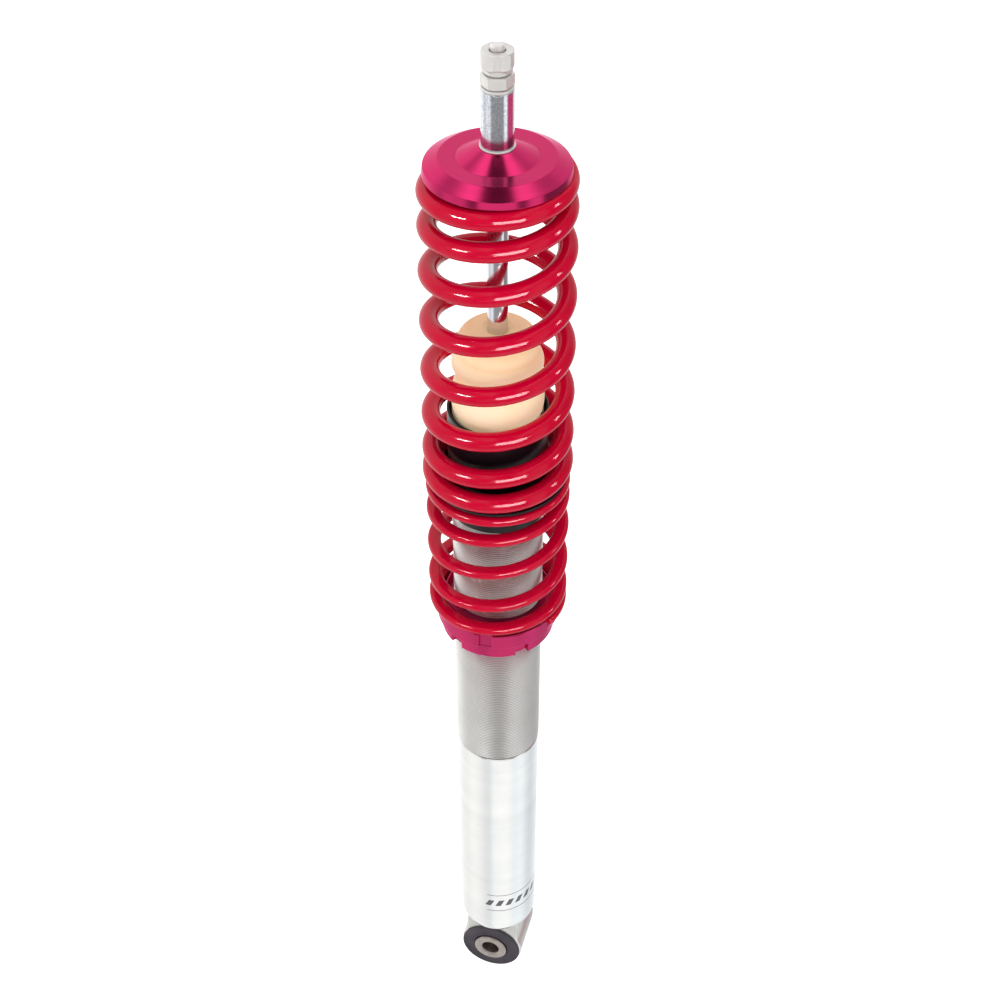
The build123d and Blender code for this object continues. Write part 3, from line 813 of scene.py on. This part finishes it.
def wire(name, turns, first_angle, radii, heights, section, bottom, top, cap=0.5):
    """Point = axis centre + radial x u + binormal x v, with (u, v) round the section. radii are the mean
    radii at foot and top. The ends are flat with a broken edge: rows scaled by 0, 0.9, 1 at distances cap,
    cap, 0 beyond the last section."""
    t = np.linspace(0, turns, int(turns * STEPS_PER_TURN) + 1)
    z = heights(t)
    angle = first_angle + 2 * pi * t
    slope = np.gradient(z, t) / (2 * pi)
    mean_r = np.interp(t, [0, turns], radii)
    radial = np.stack([np.cos(angle), np.sin(angle), 0 * angle], 1)
    tangent = np.stack([-mean_r * np.sin(angle), mean_r * np.cos(angle), slope], 1)
    tangent /= np.linalg.norm(tangent, axis=1, keepdims=True)
    up = np.cross(radial, tangent)
    centre = mean_r[:, None] * radial
    centre[:, 2] = z
    count = len(t)
    rows = np.concatenate([[0, 0], np.arange(count), [count - 1, count - 1]])
    scale = np.concatenate([[0, 0.9], np.ones(count), [0.9, 0]])
    beyond = np.concatenate([[-cap, -cap], np.zeros(count), [cap, cap]])
    middle = centre[rows] + tangent[rows] * beyond[:, None]
    u, v = section[:, 0], section[:, 1]
    spread = radial[rows][:, None, :] * u[None, :, None] + up[rows][:, None, :] * v[None, :, None]
    points = middle[:, None, :] + spread * scale[:, None, None]
    points[:, :, 2] = points[:, :, 2].clip(bottom, top)
    piece = new_mesh(name, points.reshape(-1, 3), quads(len(rows), len(section), False, True))
    return piece, t, z, rows


def hand_down(piece, t, z, rows, points, wire_height, power):
    """Writes each point's share of the upper body's travel as an attribute: the running sum of the free
    gap, (pitch - wire height) ^ power, scaled from 0 at the foot to 1 at the top."""
    gap = (np.gradient(z, t) - wire_height).clip(0) ** power
    share = np.concatenate([[0], np.cumsum(0.5 * (gap[1:] + gap[:-1]))])
    share = np.repeat((share / share[-1])[rows], points)
    attribute = piece.data.attributes.new("share", "FLOAT", "POINT")
    attribute.data.foreach_set("value", share.astype(np.float32))


def follow_both(piece):
    """Reads the share attribute, bakes the spring's transform into its mesh and removes the attribute again.
    """
    share = np.zeros(len(piece.data.vertices), np.float32)
    piece.data.attributes["share"].data.foreach_get("value", share)
    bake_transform(piece)
    piece.data.attributes.remove(piece.data.attributes["share"])


# %% Main spring
MAIN_TURNS = 8.0
WIRE_R = 5.25
MAIN_LOW_MEAN_R = 36.7  # the coil narrows a little towards its top
MAIN_HIGH_MEAN_R = 34.9
MAIN_PITCH_POWER = 0.6
GROUND = 2.6  # how far the end coil's centre stands from the ground face


def main_heights(t):
    """Height of the wire's centre: running sum of sin(pi t / turns) ^ power, scaled to the spring's
    length."""
    fine_t = np.linspace(0, MAIN_TURNS, 4001)
    pitch = np.sin(pi * fine_t / MAIN_TURNS).clip(0) ** MAIN_PITCH_POWER
    total = np.concatenate([[0], np.cumsum(0.5 * (pitch[1:] + pitch[:-1]))])
    low_centre, high_centre = MAIN_LOW + GROUND, MAIN_TOP - GROUND
    return low_centre + (high_centre - low_centre) * np.interp(t, fine_t, total / total[-1])


round_turn = np.linspace(0, 2 * pi, RING_POINTS, endpoint=False)
round_section = WIRE_R * np.stack([np.cos(round_turn), np.sin(round_turn)], 1)
main_radii = np.array([MAIN_LOW_MEAN_R, MAIN_HIGH_MEAN_R])
main_spring, t, z, rows = wire("main_spring_wound", MAIN_TURNS, FRONT + pi, main_radii, main_heights,
                               round_section, MAIN_LOW, MAIN_TOP)
hand_down(main_spring, t, z, rows, RING_POINTS, 2 * WIRE_R, 1.5)
tidy_mesh(main_spring)
dress(main_spring, None, "spring_red", powder_red, "main_spring")
follow_both(main_spring)


# %% [markdown]
# The helper spring is wound from a flat wire with rounded edges. It only keeps the main spring seated when
# the wheel hangs, and lies fully closed at ride height. Its coils lean a little, because the wire's broad
# side follows the slope of the helix.

# %% Helper spring
HELPER_TURNS = 5.4
HELPER_WIDE = 7.75
HELPER_THICK = 5.0
HELPER_OUTER_R = 40.5
HELPER_CORNER = 1.9
HELPER_GROUND = 1.5


def helper_heights(t):
    """Height of the wire's centre: half a cosine wave from the lower ground face to the upper one."""
    low_centre, high_centre = HELPER_LOW + HELPER_GROUND, HELPER_TOP - HELPER_GROUND
    return low_centre + (high_centre - low_centre) * 0.5 * (1 - np.cos(pi * t / HELPER_TURNS))


half_wide, half_thick = HELPER_WIDE / 2, HELPER_THICK / 2
flat_section = rounded([
    (half_wide, -half_thick, HELPER_CORNER),
    (half_wide, half_thick, HELPER_CORNER),
    (-half_wide, half_thick, HELPER_CORNER),
    (-half_wide, -half_thick, HELPER_CORNER),
])
helper_radii = np.full(2, HELPER_OUTER_R - half_wide)
helper, t, z, rows = wire("helper_spring_wound", HELPER_TURNS, FRONT + radians(50), helper_radii,
                          helper_heights, flat_section, HELPER_LOW, HELPER_TOP)
hand_down(helper, t, z, rows, len(flat_section), HELPER_THICK, 1.0)
tidy_mesh(helper, 50)
dress(helper, None, "spring_red", powder_red, "helper_spring")
follow_both(helper)


# %% [markdown]
# ## The slider
# Between the springs slides a moulded sleeve with a flange: the helper spring pushes on the flange from
# below, the main spring from above, and a lip on each side centres them.

# %% Slider
SLIDER_LOW = low("spring_slider")
SLIDER_TOP = high("spring_slider")
FLANGE_R = outer("spring_slider")
FLANGE_LOW = HELPER_TOP
FLANGE_TOP = MAIN_LOW
SLIDER_BORE_R = THREAD_R + 0.4
SLIDER_R = SLIDER_BORE_R + 1.2
LOWER_LIP_R = SLIDER_R + 4.0
UPPER_LIP_R = SLIDER_R + 1.8
LIP = 4.0
slider = lathe("slider_moulded", [
    (SLIDER_BORE_R, SLIDER_LOW, 0.4),
    (SLIDER_R, SLIDER_LOW, 0.5),
    (SLIDER_R, FLANGE_LOW - LIP - 2, 1.5),
    (LOWER_LIP_R, FLANGE_LOW - LIP, 0.8),
    (LOWER_LIP_R, FLANGE_LOW),
    (FLANGE_R, FLANGE_LOW, 0.5),
    (FLANGE_R, FLANGE_TOP, 0.5),
    (UPPER_LIP_R, FLANGE_TOP),
    (UPPER_LIP_R, FLANGE_TOP + LIP, 0.6),
    (SLIDER_R, FLANGE_TOP + LIP + 2, 1.5),
    (SLIDER_R, SLIDER_TOP, 0.6),
    (SLIDER_BORE_R, SLIDER_TOP, 0.4),
])
dress(slider, "slider", "slider_black", slider_black, "spring_slider")


# %% [markdown]
# ## Rod, upper seat and pin stack
# The rod is ground and hard chromed, with a thinner threaded pin on top. The seat is turned from bar and
# anodised: a rim, a sloping ring, a flat, and a cone up to the pin. On the pin sit a washer, a spacer
# sleeve, another washer and three nuts, of which the top one locks with a nylon ring.

# %% Rod
ROD_TOP = high("piston_rod")
ROD_LOW = low("piston_rod")
PIN_FOOT = low("upper_spring_seat")
PISTON_SEAT = high("shim_backing_washer")
TIP_R = 3.5
LOCKNUT_TOP = high("top_locknut")
rod = lathe("piston_rod_ground", [
    (0, ROD_LOW),
    (4.0, ROD_LOW, 0.4),
    (4.0, PISTON_SEAT),
    (ROD_R, PISTON_SEAT, 0.4),
    (ROD_R, PIN_FOOT, 0.4),
    (PIN_R, PIN_FOOT),
    (PIN_R, LOCKNUT_TOP - 3.0, 0.2),
    (TIP_R, LOCKNUT_TOP - 2.6, 0.2),
    (TIP_R, ROD_TOP - 0.7, 0.5),
    (TIP_R - 0.8, ROD_TOP, 0.4),
    (0, ROD_TOP),
], closed=False)
dress(rod, "rod", "rod_chrome", hard_chrome, "piston_rod")

# %% Upper seat
SEAT_R = outer("upper_spring_seat")
SEAT_LOW = PIN_FOOT
SEAT_TOP = high("upper_spring_seat")
RIM_TOP = MAIN_TOP + 4.2
SEAT_FLAT = SEAT_TOP - 5.7
SPIGOT_R = 29.4
RIM_SLOPE = 0.7  # the rim narrows a little upwards
seat = lathe("upper_seat_turned", [
    (PIN_R + 0.1, SEAT_LOW, 0.3),
    (15.0, SEAT_LOW, 0.6),
    (16.0, SEAT_LOW + 9, 1.0),
    (24.5, SEAT_LOW + 9, 1.0),
    (25.5, SEAT_LOW, 0.6),
    (28.6, SEAT_LOW, 0.4),
    (SPIGOT_R, SEAT_LOW + 2, 0.4),
    (SPIGOT_R, MAIN_TOP, 0.3),
    (SEAT_R, MAIN_TOP, 0.6),
    (SEAT_R - RIM_SLOPE, RIM_TOP, 0.4),
    (29.2, SEAT_FLAT, 0.5),
    (20.4, SEAT_FLAT, 0.5),
    (9.4, SEAT_TOP, 0.4),
    (PIN_R + 0.1, SEAT_TOP, 0.3),
], steps=256)
dress(seat, "rod", "anodised_magenta", magenta_faced, "upper_spring_seat")


# %% Washers and spacer sleeve
def pin_ring(name, node, edge, material):
    """Turned ring on the pin, with the heights and outer radius of its CAD node and broken edges."""
    bottom, top, rim = low(node), high(node), outer(node)
    ring = lathe(name, [
        (PIN_R, bottom, edge),
        (rim, bottom, edge),
        (rim, top, edge),
        (PIN_R, top, edge),
    ], steps=128)
    return dress(ring, "rod", "zinc_hardware", material, node)


pin_ring("foot_washer_turned", "sleeve_washer", 0.3, nut_zinc)
pin_ring("spacer_sleeve_turned", "spacer_sleeve", 0.5, sleeve_zinc)
pin_ring("nut_washer_pressed", "nut_washer", 0.4, nut_zinc)


# %% [markdown]
# ### Nuts
# A nut is a hexagon whose corners a cone has cut down at both ends, which leaves a curved edge on each
# flat. So its radius is the smaller of the two: hexagon(angle) and cone(height). Rows lie close together
# near the ends, where the cone bites. The hexagon's radius is (flats / 2) / cos(angle from the middle of
# the nearest flat).

# %% Hexagon nuts
UNDERCUT = 0.45  # the foot's bearing face stands proud, which leaves a dark line under the nut


def nut(name, node, flats, turn_degrees, bite=0.75, crown=None, corner=None, drop=(0, 0)):
    """Nut with the node's heights, less the two drops. bite is the height of the cone's cut at the foot
    and, without a crown, at the top; crown is an array of (r, z) points that closes the top, as on a
    locking nut. corner is the radius that the corners are rubbed down to."""
    bottom, top = low(node) - drop[0], high(node) - drop[1]
    corner = corner or flats / 3**0.5 - 0.12
    slope = np.linspace(0, 1, 9)
    cone = flats / 2 - 0.15 + (corner - flats / 2 + 0.3) * slope
    foot = np.stack([cone, bottom + UNDERCUT + bite * slope], 1)
    if crown is None:
        crown = np.vstack([np.stack([cone, top - bite * slope], 1)[::-1], [[flats / 2 - 1.2, top]]])
    profile = np.vstack([
        [[PIN_R + 0.01, bottom], [flats / 2 - 1.1, bottom], [flats / 2 - 1.1, bottom + UNDERCUT]],
        foot,
        crown,
        [[PIN_R + 0.01, crown[-1, 1]]],
    ])
    turn = radians(turn_degrees)
    angles = turn + np.linspace(0, 2 * pi, 144, endpoint=False)
    limit = np.minimum(flats / 2 / np.cos(np.mod(angles - turn, pi / 3) - pi / 6), corner)
    piece = tidy_mesh(sweep_round(name, profile, angles, cap=limit), 25)
    return dress(piece, "rod", "zinc_hardware", nut_zinc, node)


LOCKNUT_DROP = 1.1  # the top nut sits this much deeper over the thin one
nut("lower_nut_forged", "lower_nut", 14.6, 16.0, bite=0.5)
nut("thin_nut_forged", "thin_nut", 13.0, 16.0, bite=1.1, drop=(0, LOCKNUT_DROP))

# The top nut's corners are almost round. Its shoulder is a quarter ellipse that ends in a broad flat
# ring, which dips to the hole that the pin's tip stands in.
LOCKNUT_CORNER_R = 8.4
CROWN_R = 6.9
SHOULDER = 1.7
HOLE_R = 4.0
quarter = np.linspace(0, pi / 2, 12)
shoulder = np.stack([
    CROWN_R + (LOCKNUT_CORNER_R - CROWN_R) * np.cos(quarter),
    LOCKNUT_TOP - SHOULDER * (1 - np.sin(quarter)),
], 1)
lip = [[HOLE_R + 0.5, LOCKNUT_TOP - 0.3], [HOLE_R, LOCKNUT_TOP - 0.7], [HOLE_R, LOCKNUT_TOP - 2.4]]
nut("top_locknut_forged", "top_locknut", 16.0, 46.0, bite=1.3, crown=np.vstack([shoulder, lip]),
    corner=LOCKNUT_CORNER_R, drop=(LOCKNUT_DROP, 0))
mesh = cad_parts["locknut_insert"].data
mesh.materials.clear()
mesh.materials.append(nylon_white)


# %% [markdown]
# ## Studio
# A catalogue picture on white: the floor is pale and lit from itself as well, so the part throws almost
# no shadow. Bare metal shows what stands round it, so the room cannot be plain white for reflections. The
# world is white for the camera, and for everything else a room with light and dark stretches of wall.

# %% Floor
FLOOR_HALF = 6.0
floor = new_mesh(
    "floor",
    np.array([[-1, -1, 0], [1, -1, 0], [1, 1, 0], [-1, 1, 0]]) * FLOOR_HALF / MM
    + np.array([0, 0, low("bush_rubber") - 0.1]),
    [[0, 1, 2, 3]],
)
paper = bpy.data.materials.new("white_paper")
paper.use_nodes = True
paper_shader = paper.node_tree.nodes["Principled BSDF"]
paper_grain = add_node(paper.node_tree, "TexNoise", {"Vector": object_place(paper.node_tree), "Scale": 300.0})
paper_tone = add_node(
    paper.node_tree, "Mix", {0: paper_grain.outputs[0], 6: (0.90, 0.90, 0.90, 1), 7: (0.94, 0.94, 0.94, 1)},
    data_type="RGBA",
)
paper.node_tree.links.new(paper_tone.outputs[2], paper_shader.inputs["Base Color"])
paper_shader.inputs["Roughness"].default_value = 0.9
paper_shader.inputs["Specular IOR Level"].default_value = 0.1
paper_shader.inputs["Emission Color"].default_value = (1, 1, 1, 1)
paper_shader.inputs["Emission Strength"].default_value = 0.75
floor.data.materials.append(paper)
floor.visible_glossy = False  # polished metal shows the room, not the paper
floor.visible_diffuse = False

# %% World
ROOM_STRENGTH = 2.0
world = bpy.data.worlds.new("studio_room")
bpy.context.scene.world = world
world.use_nodes = True
tree = world.node_tree
tree.nodes.clear()


def grey_ramp(tree, value, stops):
    """Grey that runs through the stops, each a (position, grey), as the value goes from 0 to 1."""
    node = add_node(tree, "ValToRGB", {0: value})
    ramp = node.color_ramp
    while len(ramp.elements) < len(stops):
        ramp.elements.new(0.5)
    for element, (position, grey) in zip(ramp.elements, stops):
        element.position = position
        element.color = (grey, grey, grey, 1)
    return node.outputs[0]


direction = add_node(tree, "TexCoord").outputs["Generated"]
parts = add_node(tree, "SeparateXYZ", {0: direction}).outputs
rise_of_ray = parts["Z"]
compass = maths(tree, "ARCTAN2", parts["Y"], parts["X"])
compass = maths(tree, "SUBTRACT", compass, FRONT)
compass = maths(tree, "FRACT", maths(tree, "DIVIDE", compass, 2 * pi))


def soft_band(value, start, full, fading, end):
    """1 from full to fading, falling off to 0 at start and at end."""
    rise = remap(tree, value, start, full, 0.0, 1.0)
    return maths(tree, "MULTIPLY", rise, remap(tree, value, end, fading, 0.0, 1.0))


def blended(share, first, second, **settings):
    """First colour where the share is 0, second where it is 1."""
    return add_node(tree, "Mix", {0: share, 6: first, 7: second}, data_type="RGBA", **settings).outputs[2]


# walls by compass share: 0 is towards the camera, 0.25 to its right hand, 0.5 behind the part
walls = grey_ramp(tree, compass, [
    (0.00, 0.17), (0.11, 0.19), (0.135, 0.60), (0.18, 0.60), (0.20, 0.14), (0.33, 0.16), (0.37, 0.46),
    (0.50, 0.52), (0.60, 0.62), (0.68, 0.62), (0.75, 0.36), (0.78, 0.52), (0.86, 0.50), (0.89, 0.20),
    (1.00, 0.17),
])
# a low red shape stands to the right hand of the part, as wide as its dark stretch of wall
near_red = soft_band(compass, 0.195, 0.215, 0.33, 0.36)
near_red = maths(tree, "MULTIPLY", near_red, soft_band(rise_of_ray, -0.53, -0.49, -0.44, -0.38))
room = blended(near_red, walls, (0.36, 0.02, 0.09, 1))
# the floor round the part is paler, with the faint cream and blue bands of the paper's folds
folds = grey_ramp(tree, compass, [
    (0.00, 0.58), (0.08, 0.60), (0.14, 0.52), (0.20, 0.57), (0.30, 0.40), (0.50, 0.62), (0.70, 0.50),
    (0.78, 0.56), (0.86, 0.52), (0.90, 0.46), (0.94, 0.47), (0.955, 0.58), (1.00, 0.58),
])
cream = grey_ramp(tree, compass, [
    (0.0, 1.0), (0.1, 0.6), (0.16, 0.0), (0.5, 0.0), (0.7, 1.0), (0.88, 0.8), (0.93, 0.2), (1.0, 0.9),
])
fold_tint = blended(cream, (0.93, 0.98, 1.0, 1), (1.0, 0.99, 0.965, 1))
pale_floor = blended(1.0, folds, fold_tint, blend_type="MULTIPLY")
downwards = remap(tree, rise_of_ray, -0.58, -0.68, 0.0, 1.0)
room = blended(downwards, room, pale_floor)
# the ceiling is dark along the middle, between two rows of tubes
off_centre = maths(tree, "ABSOLUTE", along(tree, direction, (-sin(FRONT), cos(FRONT), 0)))
ceiling = grey_ramp(tree, off_centre, [
    (0.0, 0.06), (0.17, 0.07), (0.24, 0.82), (0.37, 0.82), (0.50, 0.34), (1.0, 0.38),
])
# a paler panel stands low in front
panel = soft_band(rise_of_ray, -0.40, -0.34, -0.10, -0.04)
panel = maths(tree, "MULTIPLY", panel, remap(tree, off_centre, 0.50, 0.42, 0.0, 1.0))
in_front = maths(tree, "GREATER_THAN", along(tree, direction, (cos(FRONT), sin(FRONT), 0)), 0.0)
panel = maths(tree, "MULTIPLY", panel, in_front)
room = blended(panel, room, (0.62, 0.62, 0.62, 1))
upwards = remap(tree, rise_of_ray, 0.60, 0.74, 0.0, 1.0)
room = blended(upwards, room, ceiling)
room_light = add_node(tree, "Background", {"Color": room, "Strength": ROOM_STRENGTH})
backdrop = add_node(tree, "Background", {"Color": (1, 1, 1, 1), "Strength": 1.0})
seen = add_node(tree, "LightPath").outputs["Is Camera Ray"]
either = add_node(tree, "MixShader", {0: seen, 1: room_light.outputs[0], 2: backdrop.outputs[0]})
add_node(tree, "OutputWorld", {"Surface": either.outputs[0]})


# %% [markdown]
# Three soft boxes are there for the gloss of the coils only: one high on the left, a small one on the right
# and a wide window in front. Each draws a bright mark on every coil. Two more, in front and above, fill the
# shapes and are left out of reflections.

# %% Lights
AIM_HEIGHT = 0.40
BOX_AWAY = 1.3


def soft_box(name, turn_degrees, distance, height, width, tall, power):
    """Area light at a compass turn from the front, aimed at the part's axis at AIM_HEIGHT."""
    light = bpy.data.lights.new(name, "AREA")
    light.shape = "RECTANGLE"
    light.size, light.size_y = width, tall
    light.energy = power
    lamp = bpy.data.objects.new(name, light)
    lamp.visible_camera = False
    bpy.context.scene.collection.objects.link(lamp)
    around = FRONT + radians(turn_degrees)
    lamp.location = (distance * cos(around), distance * sin(around), height)
    lamp.rotation_euler = (pi / 2 - np.arctan2(height - AIM_HEIGHT, distance), 0, around + pi / 2)
    return lamp


coils = bpy.data.collections.new("coils")
coils.objects.link(main_spring)
coils.objects.link(helper)
highlights = [
    soft_box("left_box", -57, BOX_AWAY, 1.08, 0.46, 0.24, 40),
    soft_box("right_box", 84, BOX_AWAY, 0.95, 0.16, 0.40, 7),
    soft_box("front_window", 14, BOX_AWAY, 0.66, 1.0, 0.62, 75),
]
for lamp in highlights:
    lamp.visible_diffuse = False
    lamp.light_linking.receiver_collection = coils
front_wash = soft_box("front_wash", 0, BOX_AWAY, 0.75, 0.8, 0.8, 6)
top_wash = soft_box("top_wash", 0, 0.6, 1.9, 0.8, 0.8, 5)
for lamp in (front_wash, top_wash):
    lamp.visible_glossy = False
bpy.context.scene.view_settings.view_transform = "Standard"
